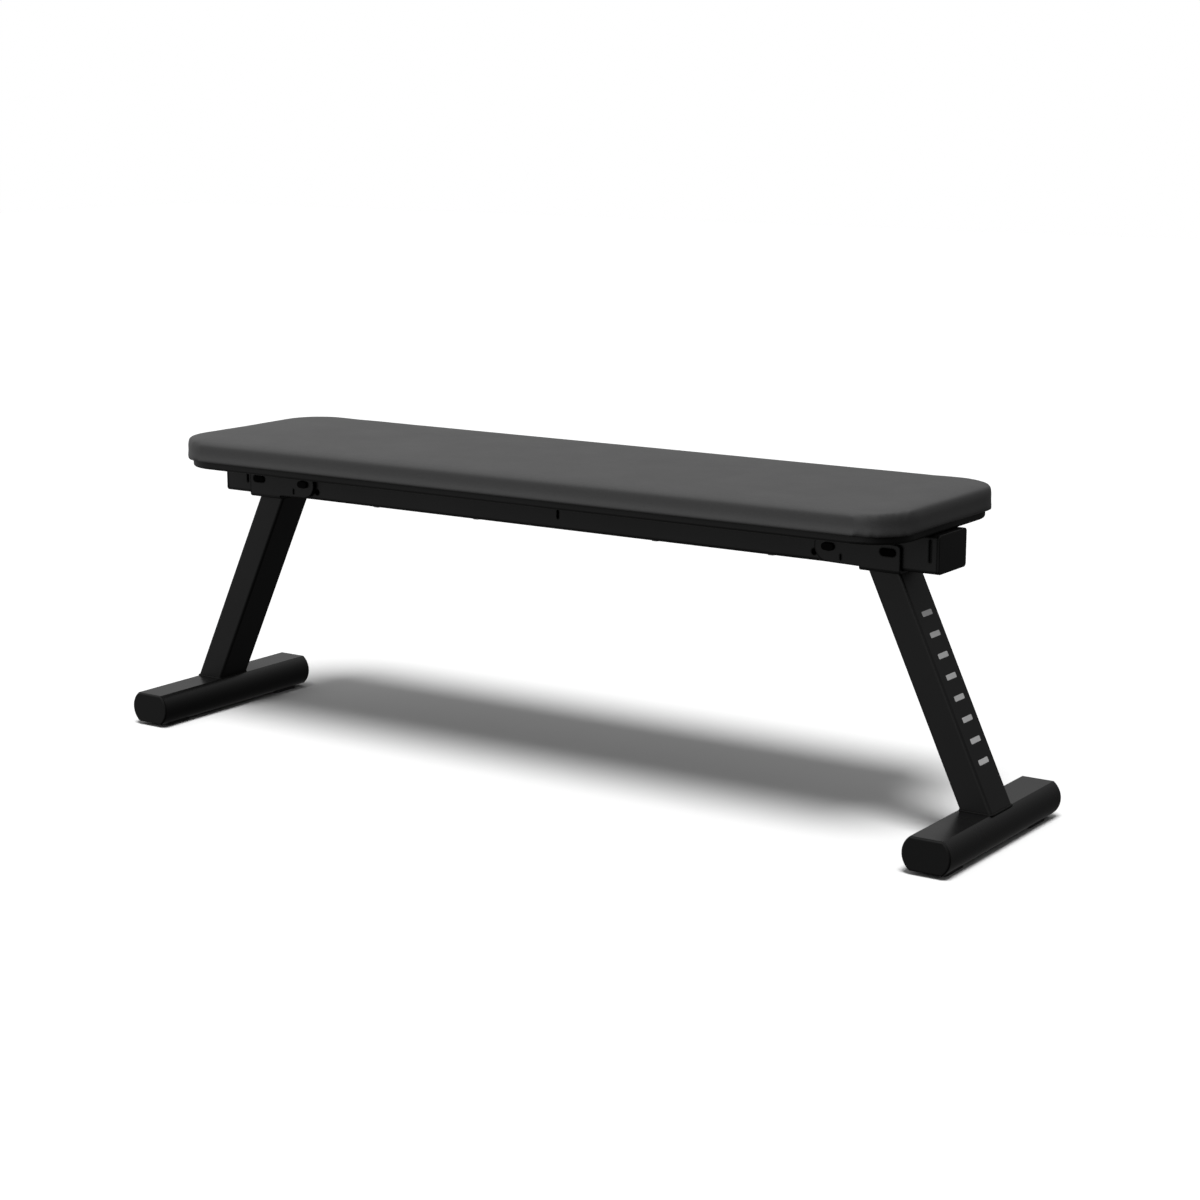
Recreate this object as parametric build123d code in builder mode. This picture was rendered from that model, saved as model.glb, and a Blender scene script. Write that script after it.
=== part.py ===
from build123d import *
import os

# Flat padded bench with folding legs. Millimetres, +Z up, +X along the bench.
# The origin is on the floor, under the middle of the bench.
# Every end piece is drawn for the +X end and mirrored for the -X end.

# ---- Driving dimensions -------------------------------------------------------------

# Spine: closed steel box tube that everything hangs on
SPINE_LENGTH = 1177.6
SPINE_WIDTH = 76.0
SPINE_HEIGHT = 50.0
SPINE_WALL = 2.5
SPINE_CORNER = 5.0
SPINE_BOTTOM = 346.0

# Cushion on its plywood, with a dark panel beneath it
PAD_LENGTH = 1176.0
PAD_WIDTH = 316.0
PAD_HEIGHT = 36.0
PAD_CORNER = 64.0
PAD_EDGE = 12.0
SKIN = 1.2
PLY_THICKNESS = 12.0
PLY_INSET = 8.0
FOAM_CLEARANCE = 0.3
HEM_WIDTH = 28.0
PANEL_LENGTH = 1162.0
PANEL_WIDTH = 302.0
PANEL_THICKNESS = 10.0
PANEL_CORNER = 58.0
PANEL_EDGE = 4.0

# Legs: box tubes splayed outwards, standing on cross bars
LEG_SPLAY = 25.04
LEG_DEPTH = 41.0
LEG_WIDTH = 60.0
LEG_WALL = 2.0
LEG_CORNER = 4.0
LEG_AXIS_X = 573.1
LEG_AXIS_Z = 202.0
FOOT_X = 643.0
FOOT_FLAT = 44.0
FOOT_BULGE = 11.2
FOOT_HEIGHT = 44.0
FOOT_WALL = 2.0
FOOT_LENGTH = 326.0
FOOT_PAD_THICKNESS = 5.0

# Saddle bracket and the bolt it turns on
PLATE = 4.0
CHEEK_GAP = 1.0
PIVOT_X = 435.5
PIVOT_Z = 368.0
PIVOT_RADIUS = 20.0
SADDLE_IN = 480.0
SADDLE_OUT = 537.5
CHEEK_TOP = 379.0
CHEEK_CORNER = 6.0
BOLT_DIAMETER = 10.0
RUNNING = 0.08
LOOSE = 0.3

# Lock: two sprung buttons in one guide across the spine
LOCK_X = 520.0
LOCK_Z = 369.0
NOSE_LENGTH = 22.0
NOSE_HEIGHT = 9.0
SHOULDER = 1.0
SLIDING = 0.1
GUIDE_WALL = 1.5
NOSE_FACE = 44.5

# Plastic end plugs
CAP_FLANGE = 3.0
CAP_PLUG = 12.0
CAP_WALL = 2.0
CAP_CLEARANCE = 0.1
CAP_SOFTEN = 1.2
FOOT_CAP_SOFTEN = 2.6

# Fasteners
PAD_BOLT_X = (-330.0, -150.0, 150.0, 330.0)
PAD_BOLT_DIAMETER = 8.0
PANEL_SCREW_X = (-480.0, -160.0, 160.0, 480.0)
PANEL_SCREW_Y = (-118.0, 118.0)
PANEL_SCREW_DIAMETER = 4.0

# ---- Worked-out places --------------------------------------------------------------

SPINE_TOP = SPINE_BOTTOM + SPINE_HEIGHT
SPINE_MID = SPINE_BOTTOM + SPINE_HEIGHT / 2
SPINE_HALF = SPINE_WIDTH / 2
SPINE_INSIDE = SPINE_HALF - SPINE_WALL
TUBE_END = SPINE_LENGTH / 2 - CAP_FLANGE
PANEL_TOP = SPINE_TOP + PANEL_THICKNESS
PLY_BOTTOM = PANEL_TOP + SKIN
PLY_TOP = PLY_BOTTOM + PLY_THICKNESS
PAD_TOP = PANEL_TOP + PAD_HEIGHT
CHEEK_IN = SPINE_HALF + CHEEK_GAP
CHEEK_OUT = CHEEK_IN + PLATE
SADDLE_BOTTOM = SPINE_BOTTOM - PLATE
FOOT_BOTTOM = FOOT_PAD_THICKNESS
FOOT_TOP = FOOT_BOTTOM + FOOT_HEIGHT
FOOT_TUBE_HALF = FOOT_LENGTH / 2 - CAP_FLANGE
THROUGH = 200.0

PAD_BOLTS = [(x, 0) for x in PAD_BOLT_X]
PANEL_SCREWS = [(x, y) for x in PANEL_SCREW_X for y in PANEL_SCREW_Y]
BOTH_ENDS = (-1, 1)

os.makedirs("parts", exist_ok=True)


def save(piece, name):
    """Labels a finished piece with its node name and writes its STEP file."""
    piece.part.label = name
    export_step(piece.part, f"parts/{name}.step")


def save_mirrored(piece, name, plane):
    """Writes the same piece reflected in one of the bench's middle planes."""
    with BuildPart() as twin:
        mirror(piece.part, about=plane)
    save(twin, name)


def save_both_ends(piece, name):
    """Writes a piece drawn for the +X end, and its mirror image for the -X end."""
    save(piece, f"{name}_right")
    save_mirrored(piece, f"{name}_left", Plane.YZ)


# ---- Cushion ------------------------------------------------------------------------

# The room inside the cover, filled by plywood with foam over it and round its edges
with BuildPart() as pad_inside:
    with BuildSketch(Plane.XY.offset(PLY_BOTTOM)):
        RectangleRounded(PAD_LENGTH - 2 * SKIN, PAD_WIDTH - 2 * SKIN, PAD_CORNER - SKIN)
    extrude(amount=PAD_HEIGHT - 2 * SKIN)
    fillet(pad_inside.faces().sort_by(Axis.Z)[-1].edges(), PAD_EDGE - SKIN)

# Vinyl cover: a skin over top and sides, with a hem folded under the plywood
with BuildPart() as pad_cover:
    with BuildSketch(Plane.XY.offset(PANEL_TOP)):
        RectangleRounded(PAD_LENGTH, PAD_WIDTH, PAD_CORNER)
    extrude(amount=PAD_HEIGHT)
    fillet(pad_cover.faces().sort_by(Axis.Z)[-1].edges(), PAD_EDGE)
    add(pad_inside.part, mode=Mode.SUBTRACT)
    with BuildSketch(Plane.XY.offset(PANEL_TOP)):
        RectangleRounded(
            PAD_LENGTH - 2 * HEM_WIDTH, PAD_WIDTH - 2 * HEM_WIDTH, PAD_CORNER - HEM_WIDTH
        )
    extrude(amount=SKIN, mode=Mode.SUBTRACT)
save(pad_cover, "pad_cover")

FILL_LENGTH = PAD_LENGTH - 2 * (SKIN + FOAM_CLEARANCE)
FILL_WIDTH = PAD_WIDTH - 2 * (SKIN + FOAM_CLEARANCE)
FILL_CORNER = PAD_CORNER - SKIN - FOAM_CLEARANCE
PLY_LENGTH = FILL_LENGTH - 2 * PLY_INSET
PLY_WIDTH = FILL_WIDTH - 2 * PLY_INSET
PLY_CORNER = FILL_CORNER - PLY_INSET

with BuildPart() as pad_foam:
    with BuildSketch(Plane.XY.offset(PLY_BOTTOM)):
        RectangleRounded(FILL_LENGTH, FILL_WIDTH, FILL_CORNER)
    extrude(amount=PAD_TOP - SKIN - PLY_BOTTOM)
    fillet(pad_foam.faces().sort_by(Axis.Z)[-1].edges(), PAD_EDGE - SKIN)
    with BuildSketch(Plane.XY.offset(PLY_BOTTOM)):
        RectangleRounded(PLY_LENGTH, PLY_WIDTH, PLY_CORNER)
    extrude(amount=PLY_THICKNESS, mode=Mode.SUBTRACT)
save(pad_foam, "pad_foam")

# Threaded inserts: a flange let into the top of the plywood, and a barrel below it
INSERT_FLANGE = 22.0
INSERT_FLANGE_THICKNESS = 1.5
INSERT_BARREL = 10.0
INSERT_FIT = 0.2
INSERT_BOTTOM = PLY_TOP - PLY_THICKNESS + 1.0
BOLT_CLEARANCE = 0.2

with BuildPart() as pad_ply:
    with BuildSketch(Plane.XY.offset(PLY_BOTTOM)):
        RectangleRounded(PLY_LENGTH, PLY_WIDTH, PLY_CORNER)
        with Locations(*PAD_BOLTS):
            Circle(INSERT_BARREL / 2 + INSERT_FIT, mode=Mode.SUBTRACT)
        with Locations(*PANEL_SCREWS):
            Circle(PANEL_SCREW_DIAMETER / 2 + BOLT_CLEARANCE, mode=Mode.SUBTRACT)
    extrude(amount=PLY_THICKNESS)
    with BuildSketch(Plane.XY.offset(PLY_TOP - INSERT_FLANGE_THICKNESS)):
        with Locations(*PAD_BOLTS):
            Circle(INSERT_FLANGE / 2 + INSERT_FIT)
    extrude(amount=INSERT_FLANGE_THICKNESS, mode=Mode.SUBTRACT)
save(pad_ply, "pad_ply")

with BuildPart() as pad_inserts:
    with BuildSketch(Plane.XY.offset(INSERT_BOTTOM)):
        with Locations(*PAD_BOLTS):
            Circle(INSERT_BARREL / 2)
    extrude(amount=PLY_TOP - INSERT_BOTTOM)
    with BuildSketch(Plane.XY.offset(PLY_TOP - INSERT_FLANGE_THICKNESS)):
        with Locations(*PAD_BOLTS):
            Circle(INSERT_FLANGE / 2)
    extrude(amount=INSERT_FLANGE_THICKNESS)
    with BuildSketch(Plane.XY.offset(INSERT_BOTTOM)):
        with Locations(*PAD_BOLTS):
            Circle(PAD_BOLT_DIAMETER / 2 + BOLT_CLEARANCE)
    extrude(amount=PLY_THICKNESS, mode=Mode.SUBTRACT)
save(pad_inserts, "pad_inserts")

# Dark panel under the cushion, its lower edge rounded
with BuildPart() as base_panel:
    with BuildSketch(Plane.XY.offset(SPINE_TOP)):
        RectangleRounded(PANEL_LENGTH, PANEL_WIDTH, PANEL_CORNER)
    extrude(amount=PANEL_THICKNESS)
    fillet(base_panel.faces().sort_by(Axis.Z)[0].edges(), PANEL_EDGE)
    with BuildSketch(Plane.XY.offset(SPINE_TOP)):
        with Locations(*PAD_BOLTS):
            Circle(PAD_BOLT_DIAMETER / 2 + BOLT_CLEARANCE)
        with Locations(*PANEL_SCREWS):
            Circle(PANEL_SCREW_DIAMETER / 2 + BOLT_CLEARANCE)
    extrude(amount=PANEL_THICKNESS, mode=Mode.SUBTRACT)
save(base_panel, "base_panel")

# Bolts from below: head, shank up through spine and panel into the inserts
WASHER_THICKNESS = 1.6
WASHER_RADIUS = 8.0
HEX_ACROSS_FLATS = 13.0
HEAD_HEIGHT = 5.3
SHANK_TOP = PLY_TOP - INSERT_FLANGE_THICKNESS / 2
WASHER_BOTTOM = SPINE_BOTTOM - WASHER_THICKNESS

with BuildPart() as pad_washers:
    with BuildSketch(Plane.XY.offset(WASHER_BOTTOM)):
        with Locations(*PAD_BOLTS):
            Circle(WASHER_RADIUS)
            Circle(PAD_BOLT_DIAMETER / 2 + BOLT_CLEARANCE, mode=Mode.SUBTRACT)
    extrude(amount=WASHER_THICKNESS)
save(pad_washers, "pad_washers")

with BuildPart() as pad_bolts:
    with BuildSketch(Plane.XY.offset(WASHER_BOTTOM - HEAD_HEIGHT)):
        with Locations(*PAD_BOLTS):
            RegularPolygon(HEX_ACROSS_FLATS / 2, 6, major_radius=False)
    extrude(amount=HEAD_HEIGHT)
    chamfer(pad_bolts.faces().filter_by(Axis.Z).group_by(Axis.Z)[0].edges(), 0.8)
    with BuildSketch(Plane.XY.offset(WASHER_BOTTOM)):
        with Locations(*PAD_BOLTS):
            Circle(PAD_BOLT_DIAMETER / 2)
    extrude(amount=SHANK_TOP - WASHER_BOTTOM)
save(pad_bolts, "pad_bolts")

# Pan-head screws that hold the panel to the plywood
SCREW_HEAD_RADIUS = 4.0
SCREW_HEAD_HEIGHT = 2.4
SCREW_LENGTH = 17.0
DRIVE_LENGTH = 4.4
DRIVE_WIDTH = 1.0
DRIVE_DEPTH = 1.2
SCREW_HEAD_BOTTOM = SPINE_TOP - SCREW_HEAD_HEIGHT

with BuildPart() as panel_screws:
    with BuildSketch(Plane.XY.offset(SCREW_HEAD_BOTTOM)):
        with Locations(*PANEL_SCREWS):
            Circle(SCREW_HEAD_RADIUS)
    extrude(amount=SCREW_HEAD_HEIGHT)
    fillet(panel_screws.faces().filter_by(Axis.Z).group_by(Axis.Z)[0].edges(), 1.4)
    with BuildSketch(Plane.XY.offset(SPINE_TOP)):
        with Locations(*PANEL_SCREWS):
            Circle(PANEL_SCREW_DIAMETER / 2)
    extrude(amount=SCREW_LENGTH)
    with BuildSketch(Plane.XY.offset(SCREW_HEAD_BOTTOM)):
        with Locations(*PANEL_SCREWS):
            Rectangle(DRIVE_LENGTH, DRIVE_WIDTH)
            Rectangle(DRIVE_WIDTH, DRIVE_LENGTH)
    extrude(amount=DRIVE_DEPTH, mode=Mode.SUBTRACT)
save(panel_screws, "panel_screws")

# ---- Spine --------------------------------------------------------------------------

# Upright slots at one pitch along both side walls; the last one is taller
SLOT_PITCH = 561.3
SLOT_FIRST_X = -546.6
SLOT_WIDTH = 3.2
SLOT_BOTTOM = 361.0
SLOT_HEIGHT = 13.0
END_SLOT_HEIGHT = 29.0
# Round locating holes inboard of the pivots
LOCATOR_X = 412.8
LOCATOR_Z = 358.0
LOCATOR_RADIUS = 4.0

with BuildPart() as spine_tube:
    with BuildSketch(Plane.YZ.offset(-TUBE_END)):
        with Locations((0, SPINE_MID)):
            RectangleRounded(SPINE_WIDTH, SPINE_HEIGHT, SPINE_CORNER)
            RectangleRounded(
                SPINE_WIDTH - 2 * SPINE_WALL,
                SPINE_HEIGHT - 2 * SPINE_WALL,
                SPINE_CORNER - SPINE_WALL,
                mode=Mode.SUBTRACT,
            )
    extrude(amount=2 * TUBE_END)
    with BuildSketch(Plane.XZ):
        with Locations(*[(end * PIVOT_X, PIVOT_Z) for end in BOTH_ENDS]):
            Circle(BOLT_DIAMETER / 2 + LOOSE)
        with Locations(*[(end * LOCATOR_X, LOCATOR_Z) for end in BOTH_ENDS]):
            Circle(LOCATOR_RADIUS)
        with Locations(*[(end * LOCK_X, LOCK_Z) for end in BOTH_ENDS]):
            SlotOverall(NOSE_LENGTH + 2 * SLIDING, NOSE_HEIGHT + 2 * SLIDING)
        for step, height in enumerate((SLOT_HEIGHT, SLOT_HEIGHT, END_SLOT_HEIGHT)):
            with Locations((SLOT_FIRST_X + step * SLOT_PITCH, SLOT_BOTTOM + height / 2)):
                SlotOverall(height, SLOT_WIDTH, rotation=90)
    extrude(amount=SPINE_WIDTH, both=True, mode=Mode.SUBTRACT)
    with BuildSketch(Plane.XY.offset(SPINE_BOTTOM)):
        with Locations(*PAD_BOLTS):
            Circle(PAD_BOLT_DIAMETER / 2 + BOLT_CLEARANCE)
    extrude(amount=SPINE_HEIGHT, mode=Mode.SUBTRACT)
save(spine_tube, "spine_tube")

# Plastic plug in each end of the spine
BORE_WIDTH = SPINE_WIDTH - 2 * (SPINE_WALL + CAP_CLEARANCE)
BORE_HEIGHT = SPINE_HEIGHT - 2 * (SPINE_WALL + CAP_CLEARANCE)
BORE_CORNER = SPINE_CORNER - SPINE_WALL - CAP_CLEARANCE

with BuildPart() as spine_cap:
    with BuildSketch(Plane.YZ.offset(TUBE_END)):
        with Locations((0, SPINE_MID)):
            RectangleRounded(SPINE_WIDTH, SPINE_HEIGHT, SPINE_CORNER)
    extrude(amount=CAP_FLANGE)
    fillet(spine_cap.faces().sort_by(Axis.X)[-1].edges(), CAP_SOFTEN)
    with BuildSketch(Plane.YZ.offset(TUBE_END - CAP_PLUG)):
        with Locations((0, SPINE_MID)):
            RectangleRounded(BORE_WIDTH, BORE_HEIGHT, BORE_CORNER)
            Rectangle(BORE_WIDTH - 2 * CAP_WALL, BORE_HEIGHT - 2 * CAP_WALL, mode=Mode.SUBTRACT)
    extrude(amount=CAP_PLUG)
save_both_ends(spine_cap, "spine_cap")

# Spacer between the spine's walls, which the pivot bolt turns in
SLEEVE_RADIUS = 8.0

with BuildPart() as pivot_sleeve:
    with BuildSketch(Plane.XZ.offset(-SPINE_INSIDE)):
        with Locations((PIVOT_X, PIVOT_Z)):
            Circle(SLEEVE_RADIUS)
            Circle(BOLT_DIAMETER / 2 + RUNNING, mode=Mode.SUBTRACT)
    extrude(amount=2 * SPINE_INSIDE)
save_both_ends(pivot_sleeve, "pivot_sleeve")

# ---- Lock ---------------------------------------------------------------------------

SHOULDER_LENGTH = NOSE_LENGTH + 2 * SHOULDER
SHOULDER_HEIGHT = NOSE_HEIGHT + 2 * SHOULDER
SHOULDER_DEPTH = 6.0
GUIDE_LENGTH = SHOULDER_LENGTH + 2 * SLIDING
GUIDE_HEIGHT = SHOULDER_HEIGHT + 2 * SLIDING
STEM_RADIUS = 2.5
STEM_LENGTH = 8.0
NOSE_SOFTEN = 1.5
SHOULDER_BACK = SPINE_INSIDE - SHOULDER_DEPTH

# Guide tube across the spine
with BuildPart() as lock_guide:
    with BuildSketch(Plane.XZ.offset(-SPINE_INSIDE)):
        with Locations((LOCK_X, LOCK_Z)):
            SlotOverall(GUIDE_LENGTH + 2 * GUIDE_WALL, GUIDE_HEIGHT + 2 * GUIDE_WALL)
            SlotOverall(GUIDE_LENGTH, GUIDE_HEIGHT, mode=Mode.SUBTRACT)
    extrude(amount=2 * SPINE_INSIDE)
save_both_ends(lock_guide, "lock_guide")

# Near button: stem for the spring, shoulder inside the wall, nose through wall and cheek
with BuildPart() as lock_button:
    with BuildSketch(Plane.XZ.offset(SHOULDER_BACK)):
        with Locations((LOCK_X, LOCK_Z)):
            SlotOverall(SHOULDER_LENGTH, SHOULDER_HEIGHT)
    extrude(amount=SHOULDER_DEPTH)
    with BuildSketch(Plane.XZ.offset(SPINE_INSIDE)):
        with Locations((LOCK_X, LOCK_Z)):
            SlotOverall(NOSE_LENGTH, NOSE_HEIGHT)
    extrude(amount=NOSE_FACE - SPINE_INSIDE)
    fillet(lock_button.faces().sort_by(Axis.Y)[0].edges(), NOSE_SOFTEN)
    with BuildSketch(Plane.XZ.offset(SHOULDER_BACK - STEM_LENGTH)):
        with Locations((LOCK_X, LOCK_Z)):
            Circle(STEM_RADIUS)
    extrude(amount=STEM_LENGTH)
save_both_ends(lock_button, "lock_button_near")
save_mirrored(lock_button, "lock_button_far_right", Plane.XZ)
with BuildPart() as lock_button_far:
    mirror(lock_button.part, about=Plane.XZ)
save_mirrored(lock_button_far, "lock_button_far_left", Plane.YZ)

# Compression spring between the two buttons
SPRING_WIRE = 0.5
SPRING_RADIUS = 3.8
SPRING_PITCH = 5.7
SPRING_TURNS = 10
SPRING_LENGTH = SPRING_PITCH * SPRING_TURNS

with BuildPart() as lock_spring:
    with BuildLine() as coil:
        Helix(
            pitch=SPRING_PITCH,
            height=SPRING_LENGTH,
            radius=SPRING_RADIUS,
            center=(LOCK_X, -SPRING_LENGTH / 2, LOCK_Z),
            direction=(0, 1, 0),
        )
    with BuildSketch(coil.line ^ 0):
        Circle(SPRING_WIRE)
    sweep(is_frenet=True)
save_both_ends(lock_spring, "lock_spring")

# ---- Legs ---------------------------------------------------------------------------

# Saddle bracket: a base plate under the spine and a cheek on each side of it
SADDLE_BEND_OUT = 5.0
SADDLE_BEND_IN = 3.0
WINDOW_ROOM = 0.8
CHEEK_SLIT_X = 453.6
CHEEK_SLIT_Z = 356.0
CHEEK_SLIT_WIDTH = 2.0
CHEEK_SLIT_HEIGHT = 8.0

with BuildPart() as bracket:
    with BuildSketch(Plane.XZ.offset(-CHEEK_OUT)):
        with Locations((PIVOT_X, PIVOT_Z)):
            Circle(PIVOT_RADIUS)
        with Locations((SADDLE_OUT - CHEEK_CORNER, CHEEK_TOP - CHEEK_CORNER)):
            Circle(CHEEK_CORNER)
        with Locations((SADDLE_OUT - 1, SPINE_BOTTOM + 1)):
            Rectangle(2, 2)
        make_hull()
        with Locations(((SADDLE_IN + SADDLE_OUT) / 2, SPINE_BOTTOM)):
            Rectangle(SADDLE_OUT - SADDLE_IN, 2 * PLATE)
    extrude(amount=2 * CHEEK_OUT)
    fillet(
        bracket.edges().filter_by(Axis.X).group_by(Axis.Z)[0].sort_by(Axis.Y),
        SADDLE_BEND_OUT,
    )
    with BuildSketch(Plane.YZ.offset(PIVOT_X - PIVOT_RADIUS)) as channel:
        with Locations((0, SPINE_BOTTOM + SPINE_HEIGHT)):
            Rectangle(2 * CHEEK_IN, 2 * SPINE_HEIGHT)
        fillet(channel.vertices().group_by(Axis.Y)[0], SADDLE_BEND_IN)
    extrude(amount=THROUGH, mode=Mode.SUBTRACT)
    with BuildSketch(Plane.XZ):
        with Locations((PIVOT_X, PIVOT_Z)):
            Circle(BOLT_DIAMETER / 2 + RUNNING)
        with Locations((LOCK_X, LOCK_Z)):
            SlotOverall(NOSE_LENGTH + WINDOW_ROOM, NOSE_HEIGHT + WINDOW_ROOM)
        with Locations((CHEEK_SLIT_X, CHEEK_SLIT_Z)):
            SlotOverall(CHEEK_SLIT_HEIGHT, CHEEK_SLIT_WIDTH, rotation=90)
    extrude(amount=SPINE_WIDTH, both=True, mode=Mode.SUBTRACT)
save_both_ends(bracket, "bracket")

# Leg tube: drawn square to its sloping axis, then cut level at bracket and foot bar
LEG_PLANE = Plane(
    origin=(LEG_AXIS_X, 0, LEG_AXIS_Z),
    x_dir=(0, 1, 0),
    z_dir=Vector(0, 0, 1).rotate(Axis.Y, -LEG_SPLAY),
)

with BuildPart() as leg_tube:
    with BuildSketch(LEG_PLANE):
        RectangleRounded(LEG_WIDTH, LEG_DEPTH, LEG_CORNER)
        RectangleRounded(
            LEG_WIDTH - 2 * LEG_WALL,
            LEG_DEPTH - 2 * LEG_WALL,
            LEG_CORNER - LEG_WALL,
            mode=Mode.SUBTRACT,
        )
    extrude(amount=THROUGH, both=True)
    split(bisect_by=Plane.XY.offset(SADDLE_BOTTOM), keep=Keep.BOTTOM)
    split(bisect_by=Plane.XY.offset(FOOT_TOP), keep=Keep.TOP)
save_both_ends(leg_tube, "leg_tube")


def foot_section(plane, inset):
    """The foot bar's section: flat top and bottom, bulging sides, drawn inset from the outside."""
    half_flat = FOOT_FLAT / 2
    low = FOOT_BOTTOM + inset
    high = FOOT_TOP - inset
    side = half_flat + FOOT_BULGE - inset
    with BuildSketch(plane) as section:
        with BuildLine():
            for end in BOTH_ENDS:
                ThreePointArc(
                    (FOOT_X + end * half_flat, low),
                    (FOOT_X + end * side, (low + high) / 2),
                    (FOOT_X + end * half_flat, high),
                )
            for level in (low, high):
                Line((FOOT_X - half_flat, level), (FOOT_X + half_flat, level))
        make_face()
    return section.sketch


# Rubber pads under the foot bar and the screws that hold them
FOOT_PAD_LENGTH = 50.0
FOOT_PAD_WIDTH = 40.0
FOOT_PAD_CORNER = 6.0
FOOT_PAD_OUT = 145.0
FOOT_PAD_Y = FOOT_PAD_OUT - FOOT_PAD_LENGTH / 2
FOOT_SCREW_DIAMETER = 4.8
FOOT_SCREW_HEAD = 9.0
FOOT_SCREW_HEAD_HEIGHT = 2.0
FOOT_SCREW_SINK = 3.0
FOOT_SCREW_TOP = 13.0
FOOT_SCREW_ROOM = 0.2

FOOT_TUBE_FAR = Plane.XZ.offset(-FOOT_TUBE_HALF)
FOOT_TUBE_NEAR = Plane.XZ.offset(FOOT_TUBE_HALF)
PLUG_END = Plane.XZ.offset(FOOT_TUBE_HALF - CAP_PLUG)

with BuildPart() as foot_bar:
    extrude(foot_section(FOOT_TUBE_FAR, 0), amount=2 * FOOT_TUBE_HALF)
    extrude(
        foot_section(FOOT_TUBE_FAR, FOOT_WALL), amount=2 * FOOT_TUBE_HALF, mode=Mode.SUBTRACT
    )
    with BuildSketch(Plane.XY.offset(FOOT_BOTTOM)):
        with Locations((FOOT_X, -FOOT_PAD_Y), (FOOT_X, FOOT_PAD_Y)):
            Circle(FOOT_SCREW_DIAMETER / 2 + FOOT_SCREW_ROOM)
    extrude(amount=FOOT_WALL, mode=Mode.SUBTRACT)
save_both_ends(foot_bar, "foot_bar")

with BuildPart() as foot_cap:
    extrude(foot_section(FOOT_TUBE_NEAR, 0), amount=CAP_FLANGE)
    fillet(foot_cap.faces().sort_by(Axis.Y)[0].edges(), FOOT_CAP_SOFTEN)
    plug_inset = FOOT_WALL + CAP_CLEARANCE
    extrude(foot_section(PLUG_END, plug_inset), amount=CAP_PLUG)
    extrude(foot_section(PLUG_END, plug_inset + CAP_WALL), amount=CAP_PLUG, mode=Mode.SUBTRACT)
save_both_ends(foot_cap, "foot_cap_near")
with BuildPart() as foot_cap_far:
    mirror(foot_cap.part, about=Plane.XZ)
save_both_ends(foot_cap_far, "foot_cap_far")

with BuildPart() as foot_pad:
    with BuildSketch(Plane.XY):
        with Locations((FOOT_X, -FOOT_PAD_Y)):
            RectangleRounded(FOOT_PAD_WIDTH, FOOT_PAD_LENGTH, FOOT_PAD_CORNER)
            Circle(FOOT_SCREW_DIAMETER / 2 + FOOT_SCREW_ROOM, mode=Mode.SUBTRACT)
    extrude(amount=FOOT_PAD_THICKNESS)
    with BuildSketch(Plane.XY):
        with Locations((FOOT_X, -FOOT_PAD_Y)):
            Circle(FOOT_SCREW_HEAD / 2 + FOOT_SCREW_ROOM)
    extrude(amount=FOOT_SCREW_SINK, mode=Mode.SUBTRACT)
save_both_ends(foot_pad, "foot_pad_near")
with BuildPart() as foot_pad_far:
    mirror(foot_pad.part, about=Plane.XZ)
save_both_ends(foot_pad_far, "foot_pad_far")

with BuildPart() as foot_screws:
    with BuildSketch(Plane.XY.offset(FOOT_SCREW_SINK - FOOT_SCREW_HEAD_HEIGHT)):
        with Locations((FOOT_X, -FOOT_PAD_Y), (FOOT_X, FOOT_PAD_Y)):
            Circle(FOOT_SCREW_HEAD / 2)
    extrude(amount=FOOT_SCREW_HEAD_HEIGHT)
    with BuildSketch(Plane.XY.offset(FOOT_SCREW_SINK)):
        with Locations((FOOT_X, -FOOT_PAD_Y), (FOOT_X, FOOT_PAD_Y)):
            Circle(FOOT_SCREW_DIAMETER / 2)
    extrude(amount=FOOT_SCREW_TOP - FOOT_SCREW_SINK)
save_both_ends(foot_screws, "foot_screws")

# ---- Pivot fasteners ----------------------------------------------------------------

PIVOT_HEAD_LENGTH = 18.0
PIVOT_HEAD_WIDTH = 10.0
PIVOT_HEAD_HEIGHT = 3.5
PIVOT_HEAD_SOFTEN = 1.0
NYLON_RADIUS = 14.0
PIVOT_WASHER_RADIUS = 10.5
PIVOT_WASHER_THICKNESS = 2.0
NUT_ACROSS_FLATS = 16.0
NUT_HEX_HEIGHT = 8.0
NUT_COLLAR_HEIGHT = 2.5
NUT_COLLAR_RADIUS = 7.2
BOLT_TAIL = 2.0
PIVOT_WASHER_OUT = CHEEK_OUT + PIVOT_WASHER_THICKNESS
NUT_OUT = PIVOT_WASHER_OUT + NUT_HEX_HEIGHT + NUT_COLLAR_HEIGHT

# Oval head on the near cheek, shank across the spine, tail past the nut
with BuildPart() as pivot_bolt:
    with BuildSketch(Plane.XZ.offset(CHEEK_OUT)):
        with Locations((PIVOT_X, PIVOT_Z)):
            SlotOverall(PIVOT_HEAD_LENGTH, PIVOT_HEAD_WIDTH)
    extrude(amount=PIVOT_HEAD_HEIGHT)
    fillet(pivot_bolt.faces().sort_by(Axis.Y)[0].edges(), PIVOT_HEAD_SOFTEN)
    with BuildSketch(Plane.XZ.offset(-NUT_OUT - BOLT_TAIL)):
        with Locations((PIVOT_X, PIVOT_Z)):
            Circle(BOLT_DIAMETER / 2)
    extrude(amount=NUT_OUT + BOLT_TAIL + CHEEK_OUT)
    chamfer(pivot_bolt.faces().sort_by(Axis.Y)[-1].edges(), 1.0)
save_both_ends(pivot_bolt, "pivot_bolt")

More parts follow.
